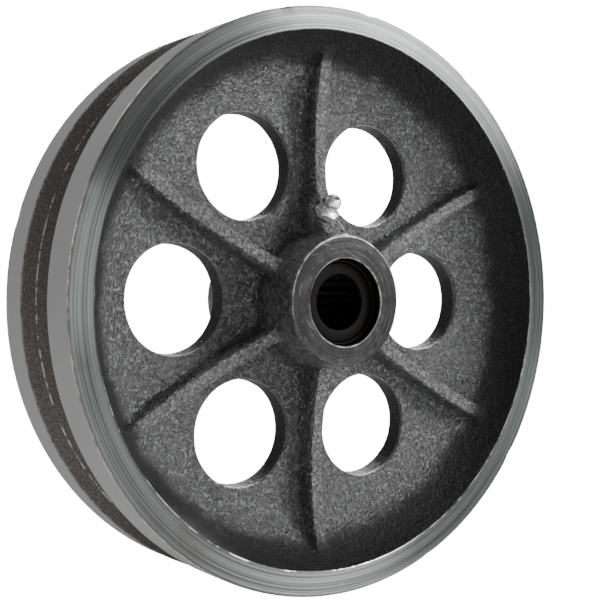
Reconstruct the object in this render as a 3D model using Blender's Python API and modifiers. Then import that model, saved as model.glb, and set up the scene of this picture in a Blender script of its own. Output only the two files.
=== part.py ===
"""Cast V-groove track wheel, 8 in x 2 in, with its caged roller bearing and grease fitting.

The wheel turns about the Y axis. The origin is at the wheel's centre, -Y is the front side, which
carries the grease fitting above the hub, and +Z is up. All lengths are in metres.
"""

import math

import bmesh
import bpy
from mathutils import Matrix, Vector

INCH = 0.0254
MM = 0.001
GAP = 0.3 * MM                     # running or press clearance between neighbouring pieces

# Rim
WHEEL_RADIUS = 4.0 * INCH
TREAD_HALF_WIDTH = 1.0 * INCH
RIM_FACE_INNER_RADIUS = 93.0 * MM
RIM_CORNER_RADIAL = 0.5 * MM
RIM_CORNER_AXIAL = 1.5 * MM
GROOVE_WIDTH = 21.7 * MM           # at the tread, for a 45 degree wall on each side
GROOVE_CENTRE_Y = 1.0 * MM
GROOVE_FLOOR_WIDTH = 3.2 * MM
RIM_WALL_DRAFT = math.radians(12.0)
RIM_FILLET_RADIUS = 20.5 * MM

# Web and its lightening holes
WEB_FRONT_Y = -4.5 * MM
WEB_REAR_Y = 3.5 * MM
HOLE_COUNT = 6
HOLE_PITCH_RADIUS = 53.75 * MM
HOLE_RADIUS_FRONT = 19.0 * MM
HOLE_RADIUS_REAR = 18.5 * MM

# Ribs: each one stands on both sides of the web and its crest is dished on an arc
RIB_COUNT = 6
RIB_FIRST_ANGLE = math.radians(30.0)
RIB_INNER_RADIUS = 19.0 * MM
RIB_OUTER_RADIUS = 92.3 * MM
RIB_CREST_Y = 11.6 * MM            # height of the crest above the wheel's mid-plane
RIB_CREST_RADIUS = 57.0 * MM       # where along the rib the crest is lowest
RIB_DISH_RADIUS = 118.0 * MM
RIB_TOP_WIDTH = 4.6 * MM
RIB_ROOT_WIDTH = 7.2 * MM
RIB_EDGE_ROUND = 0.8 * MM

# Hub
HUB_HALF_LENGTH = (2.0 + 3.0 / 16.0) * INCH / 2.0
HUB_RADIUS = 22.75 * MM
HUB_ROOT_RADIUS = 23.7 * MM
HUB_FILLET_RADIUS = 5.0 * MM
HUB_CORNER = 0.5 * MM
BORE_RADIUS = (1.0 + 3.0 / 16.0) * INCH / 2.0
BORE_CORNER = 0.8 * MM

# Grease fitting: it is screwed into a boss at the hub end of the top rib, tilted to the front
FITTING_TILT = math.radians(45.0)
FITTING_SEAT = Vector((0.0, -14.8 * MM, 30.4 * MM))
BOSS_WIDTH = 9.0 * MM
BOSS_DEPTH = 10.5 * MM
BOSS_TOWARDS_HUB = 10.0 * MM
BOSS_TOWARDS_RIM = 9.0 * MM
SPOT_FACE_RADIUS = 5.3 * MM
SPOT_FACE_REACH = 9.0 * MM
THREAD_HOLE_RADIUS = 3.2 * MM
THREAD_HOLE_DEPTH = 7.0 * MM
GREASE_DRILL_RADIUS = 1.5 * MM
GREASE_DRILL_DEPTH = 24.0 * MM
HEX_ACROSS_FLATS = 5.0 / 16.0 * INCH
NOSE_RADIUS = 3.0 * MM
NOSE_CENTRE = 6.3 * MM             # along the fitting, from its seat
NOSE_TIP = 8.7 * MM
CHAMBER_RADIUS = 1.5 * MM
CHAMBER_BOTTOM = 0.3 * MM
VALVE_SEAT = 7.6 * MM
VALVE_HOLE_RADIUS = 0.8 * MM
PASSAGE_RADIUS = 0.75 * MM
CHECK_BALL_RADIUS = 1.15 * MM
CHECK_BALL_CENTRE = 6.45 * MM
SPRING_WIRE_RADIUS = 0.15 * MM
SPRING_COIL_RADIUS = 0.95 * MM
SPRING_TURNS = 5.0

# Bearing: a sleeve in the bore, and a cage of straight rollers that run on a 3/4 in axle
AXLE_RADIUS = 0.75 * INCH / 2.0
SLEEVE_OUTER_RADIUS = BORE_RADIUS - GAP
SLEEVE_WALL = 0.8 * MM
SLEEVE_HALF_LENGTH = (1.0 + 15.0 / 16.0) * INCH / 2.0
SLEEVE_GREASE_HOLE_RADIUS = 2.2 * MM
ROLLER_COUNT = 10
ROLLER_HALF_LENGTH = 22.0 * MM
ROLLER_CORNER = 0.25 * MM
CAGE_HALF_LENGTH = 23.8 * MM
CAGE_RING_THICKNESS = 1.4 * MM
CAGE_SHELL_WALL = 1.3 * MM

# Facets round a full turn
RIM_STEPS = 72
BEARING_STEPS = 40
SMALL_STEPS = 20

SLEEVE_INNER_RADIUS = SLEEVE_OUTER_RADIUS - SLEEVE_WALL
ROLLER_PITCH_RADIUS = (SLEEVE_INNER_RADIUS + AXLE_RADIUS) / 2.0
ROLLER_RADIUS = (SLEEVE_INNER_RADIUS - AXLE_RADIUS) / 2.0 - GAP

# Turns a piece's own Z axis onto the wheel's axle, +Y
ALONG_AXLE = Matrix.Rotation(-math.pi / 2.0, 4, "X")
# Puts a piece's own Z axis along the fitting, outwards from its seat
ALONG_FITTING = Matrix.Translation(FITTING_SEAT) @ Matrix.Rotation(FITTING_TILT, 4, "X")


def clear_scene():
    for obj in list(bpy.data.objects):
        bpy.data.objects.remove(obj, do_unlink=True)


def new_collection(name):
    collection = bpy.data.collections.new(name)
    bpy.context.scene.collection.children.link(collection)
    return collection


def new_material(name, colour, roughness, metallic):
    material = bpy.data.materials.new(name)
    material.use_nodes = True
    shader = material.node_tree.nodes["Principled BSDF"]
    shader.inputs["Base Color"].default_value = (*colour, 1.0)
    shader.inputs["Roughness"].default_value = roughness
    shader.inputs["Metallic"].default_value = metallic
    return material


def add_object(name, mesh, collection, matrix=None, material=None):
    obj = bpy.data.objects.new(name, mesh)
    collection.objects.link(obj)
    if matrix is not None:
        obj.matrix_world = matrix
    if material is not None:
        mesh.materials.append(material)
    return obj


def arc(centre, radius, start, end, count):
    """Points (radius, height) on an arc, both ends included, angles in radians."""
    points = []
    for i in range(count + 1):
        angle = start + (end - start) * i / count
        points.append((centre[0] + radius * math.cos(angle), centre[1] + radius * math.sin(angle)))
    return points


def turned(name, profile, steps, collection, matrix=ALONG_AXLE, material=None):
    """A solid of revolution about its own Z axis, from (radius, height) points.

    The points run down the outer side. A profile that starts and ends on the axis is left open
    there, and any other profile is closed into a ring.
    """
    ring = profile[0][0] > 1e-6
    mesh = bpy.data.meshes.new(name)
    bm = bmesh.new()
    verts = [bm.verts.new((r, 0.0, z)) for r, z in profile]
    for first, second in zip(verts, verts[1:]):
        bm.edges.new((first, second))
    if ring:
        bm.edges.new((verts[-1], verts[0]))
    bm.to_mesh(mesh)
    bm.free()
    obj = add_object(name, mesh, collection, matrix, material)
    screw = obj.modifiers.new("Turn", "SCREW")
    screw.axis = "Z"
    screw.angle = 2.0 * math.pi
    screw.steps = steps
    screw.render_steps = steps
    screw.use_merge_vertices = True
    screw.merge_threshold = 0.00001
    screw.use_smooth_shade = True
    return obj


def drill(name, radius, start, end, collection, matrix, end_radius=None, steps=SMALL_STEPS):
    """A cylinder or cone cutter along the matrix's Z axis, from start to end."""
    mesh = bpy.data.meshes.new(name)
    bm = bmesh.new()
    last = radius if end_radius is None else end_radius
    bmesh.ops.create_cone(bm, cap_ends=True, segments=steps, radius1=radius, radius2=last,
                          depth=end - start,
                          matrix=Matrix.Translation((0.0, 0.0, (start + end) / 2.0)))
    bm.to_mesh(mesh)
    bm.free()
    return add_object(name, mesh, collection, matrix)


def boolean(target, operation, other):
    modifier = target.modifiers.new(operation.title(), "BOOLEAN")
    modifier.operation = operation
    modifier.object = other
    modifier.solver = "EXACT"


def hide_cutter(obj):
    obj.hide_render = True
    obj.display_type = "WIRE"


def mirrored_down(points):
    """The same points on the other side of the mid-plane, in the opposite order."""
    return [(r, -y) for r, y in reversed(points)]


def side_profile(web_height):
    """One side of the wheel from the hub's bore out to the rim's corner, as (radius, height).

    Heights are measured from the mid-plane. web_height is that side's web surface.
    """
    points = [(BORE_RADIUS, HUB_HALF_LENGTH - BORE_CORNER)]
    points.append((BORE_RADIUS + BORE_CORNER, HUB_HALF_LENGTH))
    points.append((HUB_RADIUS - HUB_CORNER, HUB_HALF_LENGTH))
    points.append((HUB_RADIUS, HUB_HALF_LENGTH - HUB_CORNER))
    fillet_height = web_height + HUB_FILLET_RADIUS
    centre = (HUB_ROOT_RADIUS + HUB_FILLET_RADIUS, fillet_height)
    points += arc(centre, HUB_FILLET_RADIUS, math.pi, 1.5 * math.pi, 3)
    # The rim's fillet is tangent to the web and to the drafted inside wall of the rim.
    height = web_height + RIM_FILLET_RADIUS
    wall_radius = RIM_FACE_INNER_RADIUS - (TREAD_HALF_WIDTH - height) * math.tan(RIM_WALL_DRAFT)
    centre = (wall_radius - RIM_FILLET_RADIUS / math.cos(RIM_WALL_DRAFT), height)
    points += arc(centre, RIM_FILLET_RADIUS, -0.5 * math.pi, -RIM_WALL_DRAFT, 5)
    points.append((RIM_FACE_INNER_RADIUS, TREAD_HALF_WIDTH))
    points.append((WHEEL_RADIUS - RIM_CORNER_RADIAL, TREAD_HALF_WIDTH))
    points.append((WHEEL_RADIUS, TREAD_HALF_WIDTH - RIM_CORNER_AXIAL))
    return points


def groove_profile():
    """The V-groove from its rear edge to its front edge, as (radius, y)."""
    half = GROOVE_WIDTH / 2.0
    floor = GROOVE_FLOOR_WIDTH / 2.0
    floor_radius = WHEEL_RADIUS - (half - floor)
    return [(WHEEL_RADIUS, GROOVE_CENTRE_Y + half),
            (floor_radius, GROOVE_CENTRE_Y + floor),
            (floor_radius, GROOVE_CENTRE_Y - floor),
            (WHEEL_RADIUS, GROOVE_CENTRE_Y - half)]


def rib_height(radius):
    """Height of a rib's crest above the mid-plane at a given radius."""
    along = radius - RIB_CREST_RADIUS
    sag = RIB_DISH_RADIUS - math.sqrt(RIB_DISH_RADIUS ** 2 - along ** 2)
    return RIB_CREST_Y + sag


def make_ribs(collection):
    """All the ribs as one cutter-like solid: bars on the radii with dished crests front and rear."""
    mesh = bpy.data.meshes.new("ribs")
    bm = bmesh.new()
    stations = 8
    length = RIB_OUTER_RADIUS - RIB_INNER_RADIUS
    for index in range(RIB_COUNT):
        bar = bmesh.new()
        bmesh.ops.create_cube(bar, size=1.0)
        along = [edge for edge in bar.edges
                 if abs(edge.verts[0].co.x - edge.verts[1].co.x) > 0.5]
        bmesh.ops.subdivide_edges(bar, edges=along, cuts=stations, use_grid_fill=True)
        upright = [edge for edge in bar.edges
                   if abs(edge.verts[0].co.y - edge.verts[1].co.y) > 0.5]
        bmesh.ops.subdivide_edges(bar, edges=upright, cuts=1, use_grid_fill=True)
        for vert in bar.verts:
            radius = RIB_INNER_RADIUS + (vert.co.x + 0.5) * length
            crest = abs(vert.co.y) > 0.25
            width = RIB_TOP_WIDTH if crest else RIB_ROOT_WIDTH
            side = math.copysign(width / 2.0, vert.co.z)
            height = math.copysign(rib_height(radius), vert.co.y) if crest else 0.0
            vert.co = (radius, height, side)
        angle = RIB_FIRST_ANGLE + 2.0 * math.pi * index / RIB_COUNT
        bar.transform(Matrix.Rotation(-angle, 4, "Y"))
        piece = bpy.data.meshes.new("rib")
        bar.to_mesh(piece)
        bar.free()
        bm.from_mesh(piece)
        bpy.data.meshes.remove(piece)
    bmesh.ops.recalc_face_normals(bm, faces=bm.faces[:])
    bm.to_mesh(mesh)
    bm.free()
    ribs = add_object("ribs", mesh, collection)
    crest_edges = ribs.modifiers.new("Crest edges", "BEVEL")
    crest_edges.width = RIB_EDGE_ROUND
    crest_edges.segments = 2
    crest_edges.limit_method = "ANGLE"
    crest_edges.angle_limit = math.radians(50.0)
    return ribs


def make_boss(collection):
    """The block that carries the fitting, its face square to the fitting's axis."""
    mesh = bpy.data.meshes.new("boss")
    bm = bmesh.new()
    bmesh.ops.create_cube(bm, size=1.0)
    for vert in bm.verts:
        x = vert.co.x * BOSS_WIDTH
        y = BOSS_TOWARDS_RIM if vert.co.y > 0.0 else -BOSS_TOWARDS_HUB
        z = 0.0 if vert.co.z > 0.0 else -BOSS_DEPTH
        vert.co = (x, y, z)
    bm.to_mesh(mesh)
    bm.free()
    return add_object("boss", mesh, collection, ALONG_FITTING)


def make_web_holes(collection):
    """The round lightening holes, a little tapered, between the ribs."""
    cutters = []
    overrun = 4.0 * MM
    web = WEB_REAR_Y - WEB_FRONT_Y
    slope = (HOLE_RADIUS_REAR - HOLE_RADIUS_FRONT) / web
    for index in range(HOLE_COUNT):
        angle = 2.0 * math.pi * index / HOLE_COUNT
        x = HOLE_PITCH_RADIUS * math.cos(angle)
        z = HOLE_PITCH_RADIUS * math.sin(angle)
        matrix = Matrix.Translation((x, 0.0, z)) @ ALONG_AXLE
        cutters.append(drill("web_hole_%d" % (index + 1), HOLE_RADIUS_FRONT - slope * overrun,
                             WEB_FRONT_Y - overrun, WEB_REAR_Y + overrun, collection, matrix,
                             HOLE_RADIUS_REAR + slope * overrun, 36))
    return cutters


def make_casting(parts, cutters, material):
    front = mirrored_down(side_profile(-WEB_FRONT_Y))
    rear = side_profile(WEB_REAR_Y)
    profile = rear + groove_profile() + front
    casting = turned("wheel_casting", profile, RIM_STEPS, parts, material=material)
    tools = [make_ribs(cutters), make_boss(cutters)]
    for tool in tools:
        boolean(casting, "UNION", tool)
    spot_face = drill("spot_face", SPOT_FACE_RADIUS, 0.0, SPOT_FACE_REACH, cutters, ALONG_FITTING,
                      steps=32)
    thread_hole = drill("thread_hole", THREAD_HOLE_RADIUS, -THREAD_HOLE_DEPTH, MM, cutters,
                        ALONG_FITTING)
    grease_drill = drill("grease_drill", GREASE_DRILL_RADIUS, -GREASE_DRILL_DEPTH, 0.0, cutters,
                         ALONG_FITTING, steps=12)
    holes = [spot_face, thread_hole, grease_drill] + make_web_holes(cutters)
    for hole in holes:
        boolean(casting, "DIFFERENCE", hole)
    for tool in tools + holes:
        hide_cutter(tool)
    return casting


def make_sleeve(parts, cutters, material):
    """The bearing's outer race, pressed in the bore, with a hole in line with the grease drill."""
    half = SLEEVE_HALF_LENGTH
    profile = [(SLEEVE_INNER_RADIUS, half), (SLEEVE_OUTER_RADIUS, half),
               (SLEEVE_OUTER_RADIUS, -half), (SLEEVE_INNER_RADIUS, -half)]
    sleeve = turned("bearing_sleeve", profile, BEARING_STEPS, parts, material=material)
    bore_crossing = FITTING_SEAT.z - SLEEVE_OUTER_RADIUS
    y = FITTING_SEAT.y + bore_crossing * math.tan(FITTING_TILT)
    hole = drill("sleeve_grease_hole", SLEEVE_GREASE_HOLE_RADIUS, SLEEVE_INNER_RADIUS - 2.0 * MM,
                 SLEEVE_OUTER_RADIUS + 2.0 * MM, cutters, Matrix.Translation((0.0, y, 0.0)),
                 steps=20)
    boolean(sleeve, "DIFFERENCE", hole)
    hide_cutter(hole)
    return sleeve


def make_cage(parts, cutters, material):
    """The cage: a shell on the rollers' pitch circle between two end rings, with a slot a roller."""
    ring_in = AXLE_RADIUS + GAP
    ring_out = SLEEVE_INNER_RADIUS - GAP
    shell_in = ROLLER_PITCH_RADIUS - CAGE_SHELL_WALL / 2.0
    shell_out = ROLLER_PITCH_RADIUS + CAGE_SHELL_WALL / 2.0
    end = CAGE_HALF_LENGTH
    shoulder = CAGE_HALF_LENGTH - CAGE_RING_THICKNESS
    profile = [(ring_in, end), (ring_out, end), (ring_out, shoulder), (shell_out, shoulder),
               (shell_out, -shoulder), (ring_out, -shoulder), (ring_out, -end), (ring_in, -end),
               (ring_in, -shoulder), (shell_in, -shoulder), (shell_in, shoulder),
               (ring_in, shoulder)]
    cage = turned("roller_cage", profile, BEARING_STEPS, parts, material=material)
    slot_half_width = ROLLER_RADIUS + GAP
    slot_half_length = ROLLER_HALF_LENGTH + GAP
    for index in range(ROLLER_COUNT):
        mesh = bpy.data.meshes.new("slot")
        bm = bmesh.new()
        bmesh.ops.create_cube(bm, size=2.0)
        bmesh.ops.scale(bm, verts=bm.verts[:],
                        vec=(ROLLER_RADIUS, slot_half_length, slot_half_width))
        bmesh.ops.translate(bm, verts=bm.verts[:], vec=(ROLLER_PITCH_RADIUS, 0.0, 0.0))
        bm.to_mesh(mesh)
        bm.free()
        slot = add_object("cage_slot_%d" % (index + 1), mesh, cutters,
                          Matrix.Rotation(-roller_angle(index), 4, "Y"))
        boolean(cage, "DIFFERENCE", slot)
        hide_cutter(slot)
    return cage


def roller_angle(index):
    """The rollers stand evenly round the axle, one of them straight below it."""
    return -0.5 * math.pi + 2.0 * math.pi * index / ROLLER_COUNT


def make_rollers(parts, parent, material):
    """One turned mesh shared by all the rollers, each with its origin on its own axis."""
    half = ROLLER_HALF_LENGTH
    inset = ROLLER_RADIUS - ROLLER_CORNER
    profile = [(0.0, half), (inset, half), (ROLLER_RADIUS, half - ROLLER_CORNER),
               (ROLLER_RADIUS, -half + ROLLER_CORNER), (inset, -half), (0.0, -half)]
    mesh = None
    for index in range(ROLLER_COUNT):
        angle = roller_angle(index)
        place = (ROLLER_PITCH_RADIUS * math.cos(angle), 0.0, ROLLER_PITCH_RADIUS * math.sin(angle))
        matrix = Matrix.Translation(place) @ ALONG_AXLE
        name = "roller_%d" % (index + 1)
        roller = turned(name, profile, SMALL_STEPS, parts, matrix,
                        material if mesh is None else None)
        if mesh is None:
            mesh = roller.data
        else:
            roller.data = mesh
        roller.parent = parent
        roller.matrix_parent_inverse = ALONG_AXLE.inverted()


def make_fitting(parts, cutters, material):
    """The grease fitting: turned all over, then cut to a hexagon where it is widest."""
    hexagon_radius = HEX_ACROSS_FLATS / 2.0 / math.cos(math.pi / 6.0)
    tip_angle = math.acos((NOSE_TIP - NOSE_CENTRE) / NOSE_RADIUS)
    nose = arc((0.0, NOSE_CENTRE), NOSE_RADIUS, math.pi / 2.0 - tip_angle, -math.radians(42.0), 6)
    profile = [(VALVE_HOLE_RADIUS, NOSE_TIP)] + nose
    profile += [(2.3 * MM, 3.9 * MM), (3.4 * MM, 3.1 * MM), (hexagon_radius, 2.4 * MM),
                (hexagon_radius, GAP), (2.9 * MM, GAP), (2.6 * MM, -6.0 * MM),
                (PASSAGE_RADIUS, -6.0 * MM), (PASSAGE_RADIUS, CHAMBER_BOTTOM),
                (CHAMBER_RADIUS, CHAMBER_BOTTOM), (CHAMBER_RADIUS, VALVE_SEAT - 0.4 * MM),
                (VALVE_HOLE_RADIUS, VALVE_SEAT)]
    fitting = turned("grease_fitting", profile, SMALL_STEPS, parts, ALONG_FITTING, material)
    hexagon = drill("hexagon", hexagon_radius, -10.0 * MM, 12.0 * MM, cutters, ALONG_FITTING,
                    steps=6)
    boolean(fitting, "INTERSECT", hexagon)
    hide_cutter(hexagon)
    return fitting


def make_check_ball(parts, material):
    mesh = bpy.data.meshes.new("check_ball")
    bm = bmesh.new()
    bmesh.ops.create_uvsphere(bm, u_segments=16, v_segments=10, radius=CHECK_BALL_RADIUS)
    bm.to_mesh(mesh)
    bm.free()
    mesh.shade_smooth()
    matrix = ALONG_FITTING @ Matrix.Translation((0.0, 0.0, CHECK_BALL_CENTRE))
    return add_object("check_ball", mesh, parts, matrix, material)


def make_check_spring(parts, material):
    """A coil between the chamber's shoulder and the check ball."""
    bottom = CHAMBER_BOTTOM + GAP / 2.0 + SPRING_WIRE_RADIUS
    top = CHECK_BALL_CENTRE - CHECK_BALL_RADIUS - GAP / 2.0 - SPRING_WIRE_RADIUS
    count = int(SPRING_TURNS * 10)
    curve = bpy.data.curves.new("check_spring", "CURVE")
    curve.dimensions = "3D"
    curve.bevel_depth = SPRING_WIRE_RADIUS
    curve.bevel_resolution = 1
    curve.use_fill_caps = True
    spline = curve.splines.new("POLY")
    spline.points.add(count)
    for i, point in enumerate(spline.points):
        turn = 2.0 * math.pi * SPRING_TURNS * i / count
        height = bottom + (top - bottom) * i / count
        point.co = (SPRING_COIL_RADIUS * math.cos(turn), SPRING_COIL_RADIUS * math.sin(turn),
                    height, 1.0)
    curve.materials.append(material)
    spring = bpy.data.objects.new("check_spring", curve)
    parts.objects.link(spring)
    spring.matrix_world = ALONG_FITTING
    return spring


def main():
    clear_scene()
    parts = new_collection("v_groove_wheel")
    cutters = new_collection("cutters")
    enamel = new_material("black_enamel", (0.035, 0.036, 0.038), 0.45, 0.0)
    dark_steel = new_material("dark_steel", (0.055, 0.055, 0.058), 0.38, 0.9)
    roller_steel = new_material("roller_steel", (0.10, 0.10, 0.11), 0.25, 1.0)
    zinc = new_material("zinc_plate", (0.72, 0.74, 0.74), 0.2, 1.0)
    make_casting(parts, cutters, enamel)
    make_sleeve(parts, cutters, dark_steel)
    cage = make_cage(parts, cutters, dark_steel)
    make_rollers(parts, cage, roller_steel)
    make_fitting(parts, cutters, zinc)
    make_check_ball(parts, zinc)
    make_check_spring(parts, zinc)


main()
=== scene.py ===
"""A cast V-groove track wheel: its fine meshes, its finishes and the studio around it.

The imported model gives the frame. The wheel's axle is Y, its front is -Y, and lengths are in metres.
Heights on the casting are measured from the wheel's mid-plane, outwards on either side.
"""

import math

import bmesh
import bpy
import numpy as np
from mathutils import Matrix, Vector


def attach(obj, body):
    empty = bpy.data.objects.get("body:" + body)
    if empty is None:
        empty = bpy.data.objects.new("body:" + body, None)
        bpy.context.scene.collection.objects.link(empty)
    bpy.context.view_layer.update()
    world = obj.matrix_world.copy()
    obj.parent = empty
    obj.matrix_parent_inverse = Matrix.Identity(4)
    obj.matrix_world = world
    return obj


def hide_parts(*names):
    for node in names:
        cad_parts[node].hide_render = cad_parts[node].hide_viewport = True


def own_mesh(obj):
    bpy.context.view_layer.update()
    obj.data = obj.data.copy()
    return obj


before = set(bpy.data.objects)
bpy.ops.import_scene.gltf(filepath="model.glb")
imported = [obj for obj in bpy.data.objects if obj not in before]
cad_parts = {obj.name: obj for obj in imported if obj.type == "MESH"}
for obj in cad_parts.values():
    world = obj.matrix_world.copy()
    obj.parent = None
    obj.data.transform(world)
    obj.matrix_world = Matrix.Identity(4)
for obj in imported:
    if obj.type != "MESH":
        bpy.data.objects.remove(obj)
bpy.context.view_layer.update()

MM = 0.001
INCH = 0.0254

# The wheel's main sizes, in metres
RIM_R = 4.0 * INCH
RIM_HALF = 1.0 * INCH
RIM_INNER_R = 93.0 * MM
GROOVE_HALF = 10.85 * MM
GROOVE_Y = 1.0 * MM
GROOVE_FLOOR_HALF = 1.6 * MM
WALL_DRAFT = math.radians(12.0)
RIM_FILLET = 20.5 * MM
WEB_FRONT = 4.5 * MM
WEB_REAR = 3.5 * MM
HOLE_PITCH = 53.75 * MM
HOLE_R_FRONT = 19.0 * MM
HOLE_R_REAR = 18.5 * MM
SECTORS = 6
SECTOR = 2.0 * math.pi / SECTORS
RIB_ANGLE = math.radians(30.0)
CREST = 11.6 * MM                  # a rib's least height, at CREST_LOW_R
CREST_LOW_R = 57.0 * MM
CREST_DISH = 118.0 * MM            # radius of the arc that the crests follow
RIB_HALF_TOP = 2.4 * MM
RIB_SLOPE = 8.5                    # steepness of the ribs' flanks
HUB_HALF = (2.0 + 3.0 / 16.0) * INCH / 2.0
HUB_R = 22.75 * MM
HUB_ROOT_R = 23.7 * MM
HUB_FILLET = 5.0 * MM
BORE_R = (1.0 + 3.0 / 16.0) * INCH / 2.0
BORE_CORNER = 0.7 * MM
CORNER_RADIAL = 0.55 * MM          # rounding of the rim's corners towards the axle
CORNER_AXIAL = 1.5 * MM
LIP_ROUND = 0.7 * MM               # rounding of the groove's lips
FLOOR_ROUND = 2.4 * MM
SEAT = Vector((0.0, -14.8 * MM, 30.4 * MM))
BOSS_HALF = 4.6 * MM
SPOT_R = 4.8 * MM
CAST_SHIFT = 0.45 * MM             # how far the cast surfaces sit above the turned ones
RIB_EDGE = 0.75 * MM               # rounding of the ribs' crests
RIB_FOOT = 1.5 * MM                # fillet where a rib stands on the web, hub or rim
BOSS_EDGE = 0.7 * MM
BOSS_FOOT = 1.2 * MM
BOSS_PROUD = 0.35 * MM             # how far the cast boss stands above its spot face
BOSS_TOWARDS_RIM = 9.0 * MM
SPOT_EDGE = 0.2 * MM
HOLE_EDGE = 0.9 * MM

ALONG_AXLE = Matrix.Rotation(-math.pi / 2.0, 4, "X")
ALONG_FITTING = Matrix.Translation(SEAT) @ Matrix.Rotation(math.radians(45.0), 4, "X")


# ---- smooth noise for the meshes
LATTICE = np.random.RandomState(7).rand(64, 64, 64)


def noise(x, y, z, size):
    """Smooth noise from -1 to 1 with features about size across."""
    coords = []
    for values in (x, y, z):
        scaled = np.asarray(values, dtype=float) / size + 37.3
        low = np.floor(scaled).astype(int)
        part = scaled - low
        coords.append((low, part * part * (3.0 - 2.0 * part)))
    total = 0.0
    for corner in range(8):
        index = []
        weight = 1.0
        for axis in range(3):
            bit = corner >> axis & 1
            low, part = coords[axis]
            index.append((low + bit) % 64)
            weight = weight * (part if bit else 1.0 - part)
        total = total + weight * LATTICE[index[0], index[1], index[2]]
    return 2.0 * total - 1.0


# ---- the cast surface as a distance
def round_union(a, b, radius):
    """Distance from two solids joined with a fillet."""
    corner = np.hypot(np.maximum(radius - a, 0.0), np.maximum(radius - b, 0.0))
    return np.maximum(radius, np.minimum(a, b)) - corner


def round_common(a, b, radius):
    """Distance from what two solids share, with its edge rounded."""
    corner = np.hypot(np.maximum(radius + a, 0.0), np.maximum(radius + b, 0.0))
    return np.minimum(-radius, np.maximum(a, b)) + corner


def web_height(front):
    return WEB_FRONT if front else WEB_REAR


def crest_height(along):
    return CREST + CREST_DISH - np.sqrt(CREST_DISH ** 2 - (along - CREST_LOW_R) ** 2)


def nearest_line(x, z, first):
    """Distance along the nearest of six even radii, the first at an angle, and square to it."""
    radius = np.hypot(x, z)
    turn = np.arctan2(z, x) - first
    turn = turn - np.round(turn / SECTOR) * SECTOR
    return radius * np.cos(turn), radius * np.sin(turn)


def nearest_hole(x, z):
    """Distance from the middle of the nearest lightening hole."""
    along, across = nearest_line(x, z, 0.0)
    return np.hypot(along - HOLE_PITCH, across)


def hole_radius(y):
    share = (y + WEB_FRONT) / (WEB_FRONT + WEB_REAR)
    return HOLE_R_FRONT + (HOLE_R_REAR - HOLE_R_FRONT) * share


def along_fitting(height, z):
    """Distance out along the fitting's axis from its seat, and up its spot face."""
    out = height + SEAT.y
    up = z - SEAT.z
    return (out + up) / math.sqrt(2.0), (up - out) / math.sqrt(2.0)


def cast_distance(x, height, z, front):
    """How far points are outside the cast iron of one side. Heights run outwards from mid-plane."""
    lifted = z - CAST_SHIFT
    radius = np.hypot(x, lifted)
    web = web_height(front)
    slab = height - web
    taper = (HUB_ROOT_R - HUB_R) / (HUB_HALF - web - HUB_FILLET)
    hub = (radius - HUB_ROOT_R + (height - web - HUB_FILLET) * taper) / math.hypot(1.0, taper)
    wall = RIM_INNER_R - (RIM_HALF - height) * math.tan(WALL_DRAFT)
    rim = (wall - radius) * math.cos(WALL_DRAFT)
    iron = np.minimum(round_union(slab, hub, HUB_FILLET), round_union(slab, rim, RIM_FILLET))
    along, across = nearest_line(x, lifted, RIB_ANGLE)
    crest = crest_height(along)
    flank = np.abs(across) - RIB_HALF_TOP - (crest - height) / RIB_SLOPE
    flank = flank * RIB_SLOPE / math.hypot(1.0, RIB_SLOPE)
    iron = round_union(iron, round_common(height - crest, flank, RIB_EDGE), RIB_FOOT)
    if front:
        out, up = along_fitting(height, lifted)
        flank = np.abs(x) - BOSS_HALF + out / RIB_SLOPE
        boss = round_common(out - BOSS_PROUD, flank, BOSS_EDGE)
        boss = round_common(boss, up - BOSS_TOWARDS_RIM, BOSS_EDGE)
        boss = np.where(z > 0.0, boss, 1.0)
        iron = round_union(iron, boss, BOSS_FOOT)
    y = -height if front else height
    iron = round_common(iron, hole_radius(y) - nearest_hole(x, lifted), HOLE_EDGE)
    iron = iron - 0.11 * MM * noise(x, y, z, 9.0 * MM) - 0.05 * MM * noise(x, y, z, 3.4 * MM)
    if front:
        out, up = along_fitting(height, z)
        spot = np.minimum(out, SPOT_R - np.hypot(x, up))
        spot = np.where(z > 0.0, spot, -1.0)
        iron = round_common(iron, spot, SPOT_EDGE)
    return iron


def settle(points, front, steps=5, flat=False):
    """Moves points (x, height, z) onto the cast surface. Flat points keep their height."""
    points = points.copy()
    tiny = 0.02 * MM
    stride = 1.2 * MM
    for _ in range(steps):
        value = cast_distance(*points.T, front)
        slope = np.zeros_like(points)
        for axis in (0, 2) if flat else (0, 1, 2):
            shift = np.zeros(3)
            shift[axis] = tiny
            rise = cast_distance(*(points + shift).T, front)
            fall = cast_distance(*(points - shift).T, front)
            slope[:, axis] = (rise - fall) / (2.0 * tiny)
        steep = np.maximum((slope ** 2).sum(1), 0.2)
        move = -(value / steep)[:, None] * slope
        length = np.linalg.norm(move, axis=1)
        points += move * np.minimum(1.0, stride / np.maximum(length, 1e-9))[:, None]
    return points


# ---- the casting's mesh
# Columns run round the wheel: close together over each rib, at fixed distances from its line,
# and evenly spaced in between. Rows run from the bore out over one side, the tread and back in.
RIB_OFFSETS = np.array([0.0, 0.9, 1.5, 1.9, 2.15, 2.4, 2.65, 2.9, 3.2, 3.6, 4.1, 4.7, 5.4]) * MM
RIB_SIDE = len(RIB_OFFSETS) - 1
BETWEEN = 36
PER_SECTOR = 2 * RIB_SIDE + BETWEEN
COLUMNS = SECTORS * PER_SECTOR
# Between these radii the rows leave room for each hole, whose own rings fill it
BLOCK_INNER = 32.0 * MM
BLOCK_MIDDLE = 39.0 * MM
BLOCK_OUTER = 75.5 * MM


def smooth_step(values, low, high):
    share = np.clip((values - low) / (high - low), 0.0, 1.0)
    return share * share * (3.0 - 2.0 * share)


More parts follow.
